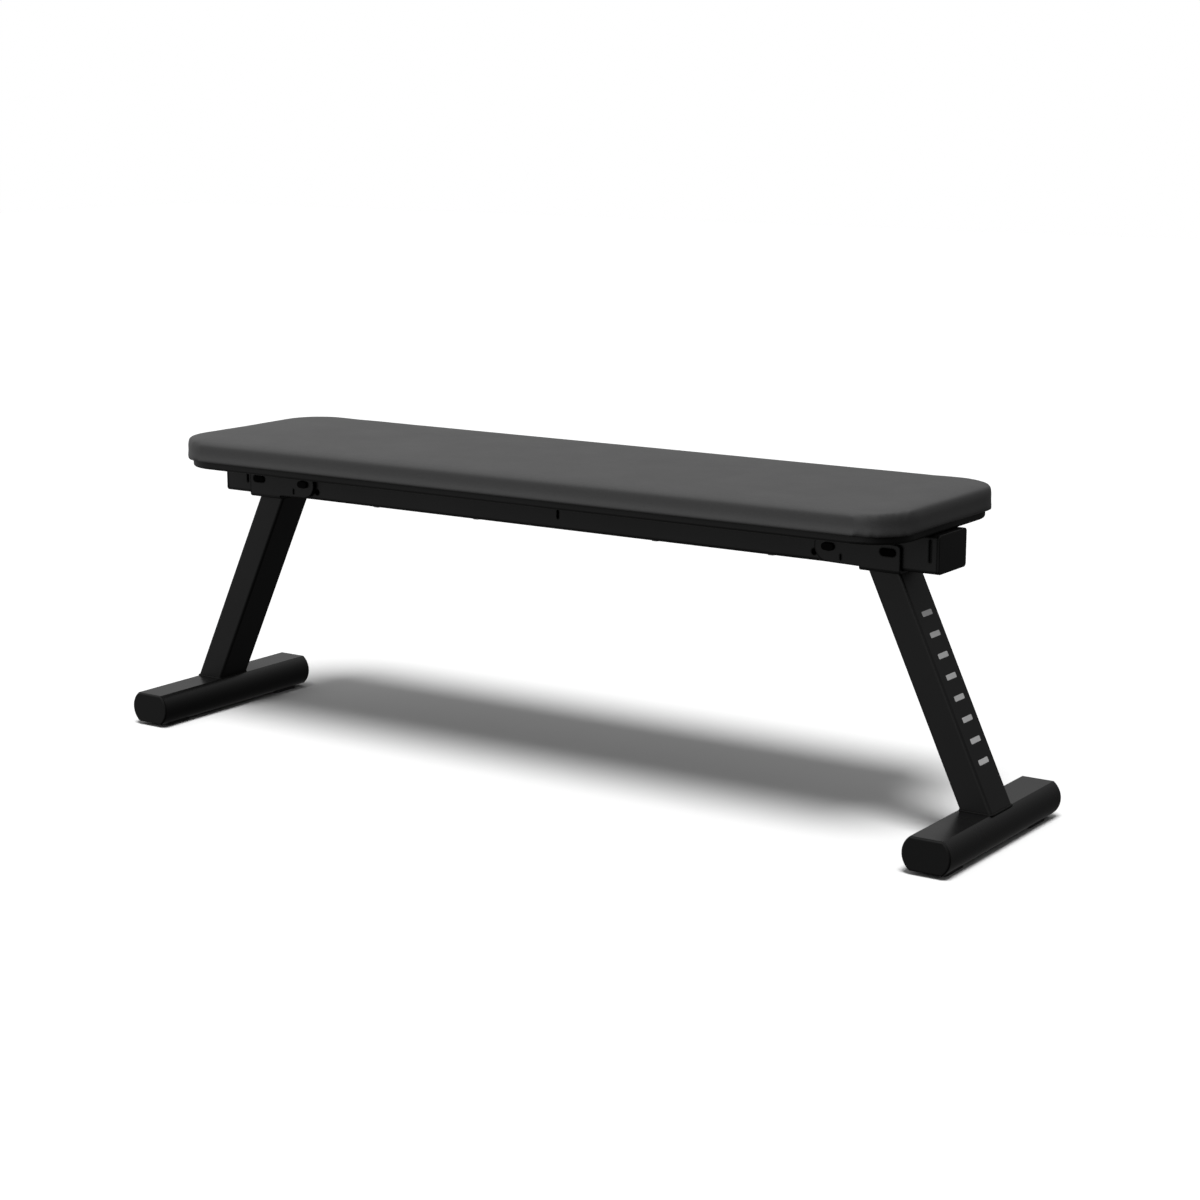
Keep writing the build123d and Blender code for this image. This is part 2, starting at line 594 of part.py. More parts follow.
with BuildPart() as nylon_washers:
    with BuildSketch(Plane.XZ.offset(SPINE_HALF), Plane.XZ.offset(-CHEEK_IN)):
        with Locations((PIVOT_X, PIVOT_Z)):
            Circle(NYLON_RADIUS)
            Circle(BOLT_DIAMETER / 2 + RUNNING, mode=Mode.SUBTRACT)
    extrude(amount=CHEEK_GAP)
save_both_ends(nylon_washers, "nylon_washers")

with BuildPart() as pivot_washer:
    with BuildSketch(Plane.XZ.offset(-PIVOT_WASHER_OUT)):
        with Locations((PIVOT_X, PIVOT_Z)):
            Circle(PIVOT_WASHER_RADIUS)
            Circle(BOLT_DIAMETER / 2 + RUNNING, mode=Mode.SUBTRACT)
    extrude(amount=PIVOT_WASHER_THICKNESS)
save_both_ends(pivot_washer, "pivot_washer")

with BuildPart() as pivot_nut:
    with BuildSketch(Plane.XZ.offset(-PIVOT_WASHER_OUT - NUT_HEX_HEIGHT)):
        with Locations((PIVOT_X, PIVOT_Z)):
            RegularPolygon(NUT_ACROSS_FLATS / 2, 6, major_radius=False)
    extrude(amount=NUT_HEX_HEIGHT)
    with BuildSketch(Plane.XZ.offset(-NUT_OUT)):
        with Locations((PIVOT_X, PIVOT_Z)):
            Circle(NUT_COLLAR_RADIUS)
    extrude(amount=NUT_COLLAR_HEIGHT)
    fillet(pivot_nut.faces().sort_by(Axis.Y)[-1].edges(), 1.0)
    with BuildSketch(Plane.XZ.offset(-NUT_OUT)):
        with Locations((PIVOT_X, PIVOT_Z)):
            Circle(BOLT_DIAMETER / 2 + RUNNING)
    extrude(amount=NUT_OUT - PIVOT_WASHER_OUT, mode=Mode.SUBTRACT)
save_both_ends(pivot_nut, "pivot_nut")
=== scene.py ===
# %% [markdown]
# # A flat folding bench
# The bench is a long padded board on a steel box spine. Two splayed legs hang on saddle
# brackets and fold inwards. The steel and plastic parts arrive as finished solids, so this
# script gives them their surfaces, and makes the pieces that a solid can't say well: the
# soft cushion, the weld beads and the printed bars on the leg.

# %% Load the frame
from math import cos, pi, radians, sin

import bpy
import numpy as np
from mathutils import Matrix, Vector


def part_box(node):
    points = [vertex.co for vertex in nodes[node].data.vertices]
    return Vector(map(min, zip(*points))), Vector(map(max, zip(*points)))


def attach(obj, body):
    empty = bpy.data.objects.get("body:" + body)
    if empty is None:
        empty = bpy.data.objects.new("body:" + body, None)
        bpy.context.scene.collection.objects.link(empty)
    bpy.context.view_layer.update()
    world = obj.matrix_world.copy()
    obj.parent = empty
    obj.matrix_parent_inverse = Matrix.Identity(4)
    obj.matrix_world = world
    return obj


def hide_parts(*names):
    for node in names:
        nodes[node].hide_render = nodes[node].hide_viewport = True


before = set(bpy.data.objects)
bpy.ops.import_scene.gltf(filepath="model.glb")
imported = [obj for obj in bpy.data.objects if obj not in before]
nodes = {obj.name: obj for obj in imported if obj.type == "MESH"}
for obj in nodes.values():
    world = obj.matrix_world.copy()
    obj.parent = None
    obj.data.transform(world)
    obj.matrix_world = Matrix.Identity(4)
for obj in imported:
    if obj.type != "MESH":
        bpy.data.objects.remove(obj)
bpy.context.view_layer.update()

MM = 0.001

# %% [markdown]
# ## Camera
# The bench is seen from its right front corner, from a little above, through a long lens.
# The camera is placed by its heading and its pitch, and its own axes are worked out from
# those two angles, so that nothing has to be aimed by eye.

# %% Place the camera
CAMERA_AT = Vector((1.92672, -2.75969, 0.94127))
HEADING = radians(34.10)
PITCH = radians(11.77)
ROLL = radians(0.04)
LENS_MM = 74.465
SENSOR_MM = 36.0

forward = Vector((-sin(HEADING) * cos(PITCH), cos(HEADING) * cos(PITCH), -sin(PITCH)))
level_right = Vector((cos(HEADING), sin(HEADING), 0.0))
level_up = level_right.cross(forward)
camera_right = level_right * cos(ROLL) + level_up * sin(ROLL)
camera_up = camera_right.cross(forward)

camera_data = bpy.data.cameras.new("camera")
camera_data.lens = LENS_MM
camera_data.sensor_width = SENSOR_MM
camera_data.clip_end = 100.0
camera = bpy.data.objects.new("camera", camera_data)
bpy.context.scene.collection.objects.link(camera)
camera.matrix_world = Matrix.Translation(CAMERA_AT) @ Matrix(
    (camera_right, camera_up, -forward)
).transposed().to_4x4()
bpy.context.scene.camera = camera
print("camera looks along", [round(v, 3) for v in forward])

# %% [markdown]
# ## Helpers for node trees
# A material is a small graph. These helpers add a node, join two sockets and make a node
# group with named inputs and outputs, so that each finish below reads as a short recipe.

# %% Node helpers


def add_node(tree, kind, **settings):
    """Adds a shader node and sets its plain properties."""
    node = tree.nodes.new(kind)
    for name, value in settings.items():
        setattr(node, name, value)
    return node


def feed(tree, target, source):
    """Joins a socket to another, or sets its value where the source is a plain number."""
    if isinstance(source, bpy.types.NodeSocket):
        tree.links.new(source, target)
    else:
        target.default_value = source


def math_node(tree, operation, a, b=0.0):
    """One arithmetic step on sockets or numbers."""
    node = add_node(tree, "ShaderNodeMath", operation=operation)
    feed(tree, node.inputs[0], a)
    feed(tree, node.inputs[1], b)
    return node.outputs[0]


def remap(tree, value, low, high, to_low=0.0, to_high=1.0):
    """Stretches the range low..high of a value onto to_low..to_high, and clamps it there."""
    node = add_node(tree, "ShaderNodeMapRange")
    feed(tree, node.inputs["Value"], value)
    for name, number in zip(("From Min", "From Max", "To Min", "To Max"),
                            (low, high, to_low, to_high)):
        node.inputs[name].default_value = number
    return node.outputs["Result"]


def mix_colour(tree, share, first, second):
    """A colour between two, by a share from 0 to 1."""
    node = add_node(tree, "ShaderNodeMix", data_type="RGBA")
    feed(tree, node.inputs["Factor"], share)
    feed(tree, node.inputs[6], first)
    feed(tree, node.inputs[7], second)
    return node.outputs[2]


def noise(tree, coordinates, scale, detail=2.0, roughness=0.5):
    """Cloudy noise, with its scale in features per metre."""
    node = add_node(tree, "ShaderNodeTexNoise")
    feed(tree, node.inputs["Vector"], coordinates)
    node.inputs["Scale"].default_value = scale
    node.inputs["Detail"].default_value = detail
    node.inputs["Roughness"].default_value = roughness
    return node.outputs["Fac"]


def new_group(name, inputs, outputs):
    """An empty node group with named sockets: each is (name, kind) or (name, kind, default)."""
    group = bpy.data.node_groups.new(name, "ShaderNodeTree")
    for way, sockets in (("INPUT", inputs), ("OUTPUT", outputs)):
        for label, kind, *default in sockets:
            socket = group.interface.new_socket(
                name=label, in_out=way, socket_type="NodeSocket" + kind)
            if default:
                socket.default_value = default[0]
    return group, group.nodes.new("NodeGroupInput"), group.nodes.new("NodeGroupOutput")


# %% [markdown]
# ## Shared effects
# Three effects turn up on many parts. Fine grain is the pebbled skin of powder coat and
# moulded plastic. Edge wear finds the corners, where a coat is thin and handling polishes
# it; its plain corner mask also serves to paint shade along the corners. Dust settles on
# faces that look upwards. Each is a node group, placed with its own numbers in every
# material that wants it.

# %% Fine grain
group, g_in, g_out = new_group(
    "fine_grain",
    [("Scale", "Float", 900.0), ("Patch Scale", "Float", 6.0)],
    [("Height", "Float"), ("Patches", "Float")],
)
place = add_node(group, "ShaderNodeTexCoord").outputs["Object"]
fine = add_node(group, "ShaderNodeTexNoise")
feed(group, fine.inputs["Vector"], place)
feed(group, fine.inputs["Scale"], g_in.outputs["Scale"])
fine.inputs["Detail"].default_value = 3.0
fine.inputs["Roughness"].default_value = 0.55
patch = add_node(group, "ShaderNodeTexNoise")
feed(group, patch.inputs["Vector"], place)
feed(group, patch.inputs["Scale"], g_in.outputs["Patch Scale"])
patch.inputs["Detail"].default_value = 4.0
feed(group, g_out.inputs["Height"], fine.outputs["Fac"])
feed(group, g_out.inputs["Patches"], remap(group, patch.outputs["Fac"], 0.3, 0.7))
print("made", group.name)

# %% Edge wear
# Where the normal of a softened corner leaves the true normal, there is an edge.
group, g_in, g_out = new_group(
    "edge_wear_and_shade",
    [("Amount", "Float", 1.0), ("Radius", "Float", 0.002)],
    [("Mask", "Float"), ("Corner", "Float")],
)
soft = add_node(group, "ShaderNodeBevel", samples=6)
feed(group, soft.inputs["Radius"], g_in.outputs["Radius"])
true = add_node(group, "ShaderNodeNewGeometry")
agree = add_node(group, "ShaderNodeVectorMath", operation="DOT_PRODUCT")
feed(group, agree.inputs[0], soft.outputs["Normal"])
feed(group, agree.inputs[1], true.outputs["Normal"])
corner = remap(group, agree.outputs["Value"], 0.995, 0.88)
place = add_node(group, "ShaderNodeTexCoord").outputs["Object"]
broken = remap(group, noise(group, place, 70.0, 5.0, 0.65), 0.42, 0.68)
worn = math_node(group, "MULTIPLY", corner, broken)
feed(group, g_out.inputs["Mask"], math_node(group, "MULTIPLY", worn, g_in.outputs["Amount"]))
feed(group, g_out.inputs["Corner"], corner)
print("made", group.name)

# %% Dust
group, g_in, g_out = new_group(
    "dust",
    [("Amount", "Float", 0.1)],
    [("Mask", "Float")],
)
facing = add_node(group, "ShaderNodeSeparateXYZ")
feed(group, facing.inputs[0], add_node(group, "ShaderNodeNewGeometry").outputs["Normal"])
upward = remap(group, facing.outputs["Z"], 0.3, 1.0)
place = add_node(group, "ShaderNodeTexCoord").outputs["Object"]
settled = remap(group, noise(group, place, 14.0, 6.0, 0.7), 0.4, 0.75)
film = math_node(group, "MULTIPLY", upward, settled)
feed(group, g_out.inputs["Mask"], math_node(group, "MULTIPLY", film, g_in.outputs["Amount"]))
print("made", group.name)

# %% [markdown]
# ## One recipe for hard finishes
# Powder coat, moulded plastic, zinc plate and rubber differ in colour, gloss and grain, and
# not in how light meets them. So one function builds the graph, and each finish is a call
# with its own numbers. The shader itself stays in the material, with its fixed values on
# its own sockets.

# %% A hard finish
DUST_COLOUR = (0.35, 0.343, 0.329, 1.0)
CLOUD_SHADE = 0.86
POLISH = -0.12
GRAIN_STRENGTH = 0.6


def place_group(tree, name, **values):
    """Puts a shared node group into a material and sets its named inputs."""
    node = add_node(tree, "ShaderNodeGroup", node_tree=bpy.data.node_groups[name])
    for label, value in values.items():
        node.inputs[label.replace("_", " ")].default_value = value
    return node


def grey(level, tint=(1.0, 1.0, 1.0)):
    """A colour of one brightness, gently tinted."""
    return (level * tint[0], level * tint[1], level * tint[2], 1.0)


def new_material(name, specular=0.5, **fixed):
    """A material with its Principled shader, whose constant inputs are set on the shader."""
    material = bpy.data.materials.new(name)
    material.use_nodes = True
    tree = material.node_tree
    shader = tree.nodes["Principled BSDF"]
    shader.inputs["Specular IOR Level"].default_value = specular
    for label, value in fixed.items():
        shader.inputs[label.replace("_", " ")].default_value = value
    return material, tree, shader


def hard_finish(name, colour, worn_colour, roughness, grain_scale=900.0, grain_height=0.00004,
                wear=0.5, dust=0.05, metallic=0.0, spread=0.06, specular=0.5, corner_gloss_for_painted_shade=1.0,
                edge_radius=0.002, **fixed):
    """A coated, moulded or plated surface: cloudy colour, patchy gloss, grain and worn edges.

    Roughness is its mean plus or minus spread, by the slow patches. Wear blends towards the
    worn colour at the corners, and dust lightens what looks upwards. Painted shade: when the
    corners' gloss share is below one, the mirrored light at a corner falls to that share of
    its full strength, which draws a dark line along it.
    """
    material, tree, shader = new_material(name, specular, Metallic=metallic, **fixed)
    grain = place_group(tree, "fine_grain", Scale=grain_scale)
    edges = place_group(tree, "edge_wear_and_shade", Amount=wear, Radius=edge_radius)
    film = place_group(tree, "dust", Amount=dust)
    patches = grain.outputs["Patches"]
    cloudy = mix_colour(tree, patches, colour, tuple(CLOUD_SHADE * c for c in colour[:3]) + (1.0,))
    rubbed = mix_colour(tree, edges.outputs["Mask"], cloudy, worn_colour)
    dusty = mix_colour(tree, film.outputs["Mask"], rubbed, DUST_COLOUR)
    feed(tree, shader.inputs["Base Color"], dusty)
    gloss = remap(tree, patches, 0.0, 1.0, roughness - spread, roughness + spread)
    polished = math_node(tree, "MULTIPLY", edges.outputs["Mask"], POLISH)
    feed(tree, shader.inputs["Roughness"], math_node(tree, "ADD", gloss, polished))
    # Painted shade: the corners lose most of their mirrored light, so they read as dark lines.
    if corner_gloss_for_painted_shade < 1.0:
        feed(tree, shader.inputs["Specular IOR Level"],
             remap(tree, edges.outputs["Corner"], 0.0, 1.0, specular, specular * corner_gloss_for_painted_shade))
    bump = add_node(tree, "ShaderNodeBump")
    bump.inputs["Strength"].default_value = GRAIN_STRENGTH
    bump.inputs["Distance"].default_value = grain_height
    feed(tree, bump.inputs["Height"], grain.outputs["Height"])
    feed(tree, shader.inputs["Normal"], bump.outputs["Normal"])
    return material


# %% The hard finishes
FRAME_BLACK = grey(0.003, (1.0, 1.0, 1.03))
# Painted shade: the powder coat keeps only a twentieth of its mirrored light at its corners, which
# darkens every corner of the frame.
powder_coat = hard_finish("powder_coat", FRAME_BLACK, grey(0.008), 0.38, wear=0.15, dust=0.005,
                          specular=0.42, corner_gloss_for_painted_shade=0.05, edge_radius=0.004,
                          grain_scale=1100.0, grain_height=0.00004)
foot_coat = hard_finish("foot_coat", FRAME_BLACK, grey(0.008), 0.27, wear=0.2, dust=0.01,
                        specular=0.43, grain_scale=1100.0, grain_height=0.00003)
cap_plastic = hard_finish("cap_plastic", grey(0.003), grey(0.012), 0.46, grain_scale=700.0,
                          grain_height=0.00006, wear=0.3, dust=0.01, specular=0.26)
panel_plastic = hard_finish("panel_plastic", grey(0.004), grey(0.012), 0.48,
                            grain_scale=500.0, grain_height=0.00008, wear=0.3, dust=0.01,
                            specular=0.34)
# Black plastic, partly painted shade: the lock buttons are coloured darker than the other black
# parts and given almost no reflection, so they read as dark as the shade in their slots.
button_plastic = hard_finish("button_plastic", grey(0.0005), grey(0.001), 0.6, wear=0.4,
                             specular=0.03, dust=0.0)
guide_plastic = hard_finish("guide_plastic", grey(0.08), grey(0.12), 0.5)
# Black steel, partly painted shade: the pivot bolt heads are coloured darker than the frame and
# given almost no reflection, so they read as dark as the shade at the pivots.
black_steel = hard_finish("black_steel", grey(0.001), grey(0.01), 0.55, wear=0.4,
                          specular=0.06, dust=0.0, grain_scale=1500.0, grain_height=0.00002)
zinc = hard_finish("zinc_plate", grey(0.55, (1.0, 1.0, 0.97)), grey(0.7), 0.32, metallic=1.0,
                   grain_scale=1500.0, grain_height=0.00002, wear=0.6)
spring_wire = hard_finish("spring_wire", grey(0.45), grey(0.6), 0.25, metallic=1.0,
                          grain_scale=2000.0, grain_height=0.00001)
rubber = hard_finish("rubber", grey(0.012), grey(0.03), 0.78, grain_scale=450.0,
                     grain_height=0.00015, wear=0.4, dust=0.15)
nylon = hard_finish("nylon", grey(0.72, (1.0, 0.99, 0.94)), grey(0.8), 0.4,
                    Subsurface_Weight=0.1, grain_scale=800.0)
weld_metal = hard_finish("weld_coat", grey(0.002), grey(0.01), 0.6, wear=0.2, specular=0.2,
                         dust=0.0, grain_scale=700.0, grain_height=0.00008)
print("hard finishes:", len(bpy.data.materials))

# %% [markdown]
# ## Vinyl
# The cover is smooth upholstery vinyl: a dark grey film with a shallow pebble pressed into
# it. The pebble is a Voronoi pattern of cells about a millimetre across, whose borders are
# the creases. A slow noise varies its tone and gloss a little.

# %% Vinyl
VINYL_GREY = 0.058
VINYL_ROUGHNESS = 0.46
PEBBLES_PER_METRE = 900.0
PEBBLE_HEIGHT = 0.00006

vinyl, tree, shader = new_material("vinyl", 0.62)
place = add_node(tree, "ShaderNodeTexCoord").outputs["Object"]
drift = noise(tree, place, 5.0, 5.0, 0.6)
cells = add_node(tree, "ShaderNodeTexVoronoi", feature="DISTANCE_TO_EDGE")
feed(tree, cells.inputs["Vector"], place)
cells.inputs["Scale"].default_value = PEBBLES_PER_METRE
crease = remap(tree, cells.outputs["Distance"], 0.0, 0.18)
mottled = mix_colour(tree, remap(tree, drift, 0.3, 0.7),
                     grey(VINYL_GREY * 0.93, (1.0, 1.0, 1.02)), grey(VINYL_GREY * 1.07))
# Painted shade: the pebble's creases are coloured darker, at seven tenths of the vinyl's grey.
crease_shaded_colour = mix_colour(tree, crease, grey(VINYL_GREY * 0.7), mottled)
film = place_group(tree, "dust", Amount=0.03)
feed(tree, shader.inputs["Base Color"],
     mix_colour(tree, film.outputs["Mask"], crease_shaded_colour, grey(0.4, (1.0, 0.98, 0.94))))
feed(tree, shader.inputs["Roughness"],
     remap(tree, drift, 0.3, 0.7, VINYL_ROUGHNESS - 0.05, VINYL_ROUGHNESS + 0.05))
pebble = add_node(tree, "ShaderNodeBump")
pebble.inputs["Strength"].default_value = 0.5
pebble.inputs["Distance"].default_value = PEBBLE_HEIGHT
feed(tree, pebble.inputs["Height"], crease)
feed(tree, shader.inputs["Normal"], pebble.outputs["Normal"])
print("made", vinyl.name)

# %% [markdown]
# ## Foam, plywood and the pale print
# Foam and plywood are inside the cushion and are seen only if it is taken apart. Plywood
# gets long bands of grain, stretched along the board by a Mapping node. The print on the leg
# is a thin film of pale silver ink.

# %% Foam, plywood and print
foam, tree, shader = new_material("foam", 0.2)
place = add_node(tree, "ShaderNodeTexCoord").outputs["Object"]
pore_shade = add_node(tree, "ShaderNodeTexVoronoi")
feed(tree, pore_shade.inputs["Vector"], place)
pore_shade.inputs["Scale"].default_value = 700.0
# Painted shade: each foam pore is coloured darker towards its middle, for the shade in its hollow.
feed(tree, shader.inputs["Base Color"],
     mix_colour(tree, pore_shade.outputs["Distance"], grey(0.45, (1.0, 0.9, 0.66)),
                grey(0.72, (1.0, 0.93, 0.74))))
shader.inputs["Roughness"].default_value = 0.9

plywood, tree, shader = new_material("plywood", 0.3)
along = add_node(tree, "ShaderNodeMapping")
along.inputs["Scale"].default_value = (1.0, 14.0, 40.0)
feed(tree, along.inputs["Vector"], add_node(tree, "ShaderNodeTexCoord").outputs["Object"])
bands = noise(tree, along.outputs["Vector"], 9.0, 6.0, 0.6)
feed(tree, shader.inputs["Base Color"],
     mix_colour(tree, remap(tree, bands, 0.35, 0.65), (0.36, 0.22, 0.11, 1.0),
                (0.6, 0.42, 0.24, 1.0)))
feed(tree, shader.inputs["Roughness"], remap(tree, bands, 0.3, 0.7, 0.55, 0.75))

silver_ink = hard_finish("silver_ink", grey(0.8), grey(0.3), 0.45, wear=0.3, dust=0.02,
                         grain_scale=1600.0, grain_height=0.00002)
print("materials:", len(bpy.data.materials))

# %% [markdown]
# ## Dress the solids
# Every solid keeps its shape and is given its finish by name. The names start with what the
# part is, so one table of beginnings covers both ends of the bench.

# %% Give each solid its finish
FINISH_OF = {
    "spine_tube": powder_coat, "bracket": powder_coat, "leg_tube": powder_coat,
    "foot_bar": foot_coat, "foot_cap": cap_plastic, "spine_cap": cap_plastic,
    "foot_pad": rubber, "foot_screws": zinc, "base_panel": panel_plastic,
    "pad_foam": foam, "pad_ply": plywood, "pad_inserts": zinc, "pad_bolts": zinc,
    "pad_washers": zinc, "panel_screws": zinc, "pivot_sleeve": zinc,
    "pivot_bolt": black_steel, "pivot_nut": zinc, "pivot_washer": zinc,
    "nylon_washers": nylon, "lock_guide": guide_plastic, "lock_button": button_plastic,
    "lock_spring": spring_wire, "pad_cover": vinyl,
}
for name, solid in nodes.items():
    start = next(key for key in FINISH_OF if name.startswith(key))
    solid.data.materials.clear()
    solid.data.materials.append(FINISH_OF[start])
print("dressed", len(nodes), "solids")

# %% [markdown]
# ## The cushion
# A bench cushion is foam on a board with vinyl pulled over both. Its sides stand nearly
# upright, its upper edge rolls over softly, and its corners are broad. A plain box can't say
# any of that, so the cushion starts as rings: the same rounded rectangle, drawn at a list of
# insets and heights. Then the skin is swollen as cloth under pressure, so that the foam seems
# to push from inside, and how far it may swell is capped.

# %% Rings into a closed skin


def rounded_outline(half_length, half_width, corner, steps):
    """Points round a rounded rectangle, anticlockwise.

    Each quarter is an arc of the corner's radius about the corner's centre, and the straight
    sides are the gaps between the quarters.
    """
    angles = np.linspace(0.0, pi / 2, steps)
    turns = np.arange(4)[:, None] * pi / 2 + angles[None, :]
    centre_x = (half_length - corner) * np.array([1, -1, -1, 1])[:, None]
    centre_y = (half_width - corner) * np.array([1, 1, -1, -1])[:, None]
    x = centre_x + corner * np.cos(turns)
    y = centre_y + corner * np.sin(turns)
    return np.stack([x.ravel(), y.ravel()], axis=1)


def grid_faces(rows, columns, closed_rows=False):
    """Quads of a grid whose columns close into a loop, and its rows too if asked."""
    row = np.arange(rows if closed_rows else rows - 1)[:, None]
    column = np.arange(columns)[None, :]
    next_row = (row + 1) % rows
    next_column = (column + 1) % columns
    quads = np.stack([row * columns + column, row * columns + next_column,
                      next_row * columns + next_column, next_row * columns + column], axis=-1)
    return quads.reshape(-1, 4)


def make_piece(name, points, faces, material):
    """A mesh object at the origin, with smooth faces and one material."""
    mesh = bpy.data.meshes.new(name)
    mesh.from_pydata(points.tolist(), [], faces)
    mesh.materials.append(material)
    mesh.polygons.foreach_set("use_smooth", np.ones(len(mesh.polygons), bool))
    mesh.update()
    piece = bpy.data.objects.new(name, mesh)
    bpy.context.scene.collection.objects.link(piece)
    return piece


def positions(mesh):
    """A mesh's vertices as an array of points."""
    flat = np.empty(len(mesh.vertices) * 3, np.float32)
    mesh.vertices.foreach_get("co", flat)
    return flat.reshape(-1, 3).astype(float)


def set_positions(mesh, points):
    """Puts an array of points back into a mesh's vertices."""
    mesh.vertices.foreach_set("co", points.astype(np.float32).ravel())
    mesh.update()


# %% The cushion's first shape
cover_low, cover_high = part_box("pad_cover")
HALF_LENGTH = cover_high.x
HALF_WIDTH = cover_high.y
BOTTOM = cover_low.z
TOP = cover_high.z
CORNER = 64 * MM
START_IN = 1.5 * MM
ROLL_WIDTH = 11 * MM
ROLL_DEPTH = 7 * MM
LOWER_ROUND = 2 * MM
CROWN = 1.2 * MM
LEAST_CORNER = 4 * MM
CORNER_STEPS = 24
RING_POINTS = 4 * CORNER_STEPS


def cushion_rings():
    """Insets and heights of the rings, from the underside up and over to the middle.

    The lower edge is a quarter circle, the side leans in by a hair, the upper edge is a
    quarter ellipse as wide and deep as the roll, and the top rises as a parabola.
    """
    quarter = np.linspace(0.0, pi / 2, 7)
    lower_in = LOWER_ROUND * (1 - np.sin(quarter))
    lower_up = LOWER_ROUND * (1 - np.cos(quarter))
    side_up = np.linspace(LOWER_ROUND, TOP - BOTTOM - ROLL_DEPTH, 6)[1:]
    side_in = 0.4 * MM * np.sin(np.linspace(0.0, pi, 6)[1:])
    sweep = np.linspace(0.0, pi / 2, 14)[1:]
    roll_in = ROLL_WIDTH * (1 - np.cos(sweep))
    roll_up = TOP - BOTTOM - ROLL_DEPTH + ROLL_DEPTH * np.sin(sweep)
    flat_in = np.linspace(ROLL_WIDTH, 0.9 * HALF_WIDTH, 8)[1:]
    rise = 1 - ((HALF_WIDTH - flat_in) / (HALF_WIDTH - ROLL_WIDTH)) ** 2
    flat_up = TOP - BOTTOM + CROWN * rise
    insets = np.concatenate([lower_in, side_in, roll_in, flat_in])
    heights = np.concatenate([lower_up, side_up, roll_up, flat_up])
    return insets + START_IN, heights * (1 - START_IN / (TOP - BOTTOM))


insets, heights = cushion_rings()
loops = [
    np.column_stack([
        rounded_outline(HALF_LENGTH - inset, HALF_WIDTH - inset,
                        max(CORNER - inset, LEAST_CORNER), CORNER_STEPS),
        np.full(RING_POINTS, BOTTOM + height),
    ])
    for inset, height in zip(insets, heights)
]
skin = np.concatenate(loops)
faces = grid_faces(len(loops), RING_POINTS).tolist()
faces.append(list(reversed(range(RING_POINTS))))
faces.append([(len(loops) - 1) * RING_POINTS + k for k in range(RING_POINTS)])
cushion = make_piece("cushion", skin, faces, vinyl)
print("first shape:", len(cushion.data.vertices), "points")

# %% Remesh and swell the cushion
VOXEL = 6 * MM
PRESSURE = 4.0
SWELL_FRAMES = 20
SWELL_CAP = 1.5 * MM
HELD_EDGE = 12 * MM


def bake_modifiers(piece):
    """Makes what the modifiers show the piece's own mesh."""
    shown = piece.evaluated_get(bpy.context.evaluated_depsgraph_get())
    mesh = bpy.data.meshes.new_from_object(shown)
    piece.modifiers.clear()
    piece.data = mesh


def swell(piece):
    """Swells a closed skin as cloth under pressure, then caps how far each point moved.

    The underside stays where it is, and the movement fades in over the held edge above it.
    """
    before = positions(piece.data)
    cloth = piece.modifiers.new("swell", "CLOTH")
    cloth.settings.quality = 5
    cloth.settings.use_pressure = True
    cloth.settings.uniform_pressure_force = PRESSURE
    cloth.settings.effector_weights.gravity = 0.0
    cloth.point_cache.frame_start = 1
    cloth.point_cache.frame_end = SWELL_FRAMES
    for number in range(1, SWELL_FRAMES + 1):
        bpy.context.scene.frame_set(number)
    shown = piece.evaluated_get(bpy.context.evaluated_depsgraph_get())
    moved = positions(shown.data) - before
    piece.modifiers.clear()
    bpy.context.scene.frame_set(1)
    reach = np.linalg.norm(moved, axis=1, keepdims=True)
    capped = moved * np.minimum(1.0, SWELL_CAP / np.maximum(reach, 1e-9))
    above = np.clip((before[:, 2] - BOTTOM) / HELD_EDGE, 0.0, 1.0)[:, None]
    set_positions(piece.data, before + capped * above * above * (3 - 2 * above))
    return reach.max()


remesh = cushion.modifiers.new("even", "REMESH")
remesh.mode = "VOXEL"
remesh.voxel_size = VOXEL
remesh.use_smooth_shade = True
bake_modifiers(cushion)
print("even skin:", len(cushion.data.vertices), "points")
print("swelled by up to", round(swell(cushion) / MM, 1), "mm before the cap")

# %% [markdown]
# ## Settle the cushion into its box
# Swelling moves every point a little, so the skin is fitted back to the cushion's own length,
# width and height. A little slow unevenness is left on the top, as hand-pulled vinyl has.

# %% Fit, smooth and hand over the cushion
TOP_WAVE = 0.3 * MM
TOP_SLACK = 0.2 * MM
TOP_FADE = 8 * MM


def soft_wave(x, y):
    """A slow unevenness from -1 to 1: the sum of three crossing sine waves."""
    return (np.sin(5.1 * x + 9.0 * y + 0.7) + np.sin(11.3 * x - 7.0 * y + 2.1)
            + np.sin(2.3 * x + 17.0 * y + 4.0)) / 3


skin = positions(cushion.data)
low, high = skin.min(axis=0), skin.max(axis=0)
goal_low = np.array([-HALF_LENGTH, -HALF_WIDTH, BOTTOM])
goal_high = np.array([HALF_LENGTH, HALF_WIDTH, TOP - TOP_SLACK])
skin = goal_low + (skin - low) * (goal_high - goal_low) / (high - low)
on_top = np.clip((skin[:, 2] - (TOP - TOP_FADE)) / TOP_FADE, 0.0, 1.0)
skin[:, 2] += on_top * TOP_WAVE * (soft_wave(skin[:, 0], skin[:, 1]) - 1.0)
set_positions(cushion.data, skin)
cushion.data.polygons.foreach_set("use_smooth", np.ones(len(cushion.data.polygons), bool))
smooth = cushion.modifiers.new("smooth", "SUBSURF")
smooth.levels = 1
smooth.render_levels = 1
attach(cushion, "frame")
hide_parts("pad_cover", "pad_foam")
print("cushion:", len(cushion.data.polygons), "faces before smoothing")

